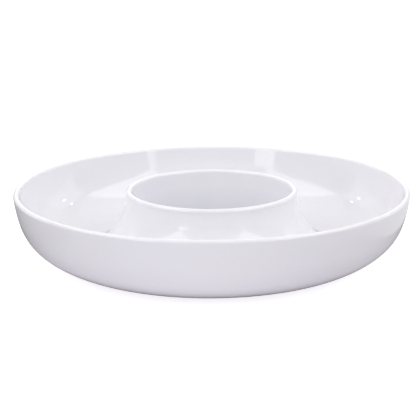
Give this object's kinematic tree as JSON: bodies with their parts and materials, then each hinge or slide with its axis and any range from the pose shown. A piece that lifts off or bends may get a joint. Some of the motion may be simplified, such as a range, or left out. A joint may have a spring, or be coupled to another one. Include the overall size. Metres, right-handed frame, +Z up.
{
  "type": "chip and dip server",
  "caption": "Round glazed ceramic serving tray with a ring-shaped trough for chips and a dip bowl that drops into a raised collar at its centre.",
  "frame": {"origin": "on the axis of the server, in the plane that the tray's foot ring stands on", "axes": "+Z up along the axis of both turned pieces; +X and +Y are any two horizontal directions, because the form is round"},
  "size_m": [0.3296, 0.3296, 0.0612],
  "materials": {
    "tray_glaze": "glossy white glaze, unglazed foot ring",
    "bowl_glaze": "glossy white glaze, unglazed foot ring and seat"
  },
  "bodies": {
    "tray": {"chip_tray": "tray_glaze"},
    "bowl": {"dip_bowl": "bowl_glaze"}
  },
  "joints": [
    {"name": "bowl_lift", "type": "slide", "parent": "tray", "child": "bowl", "axis": [0, 0, 1], "range_m": [0, 0.06]}
  ]
}
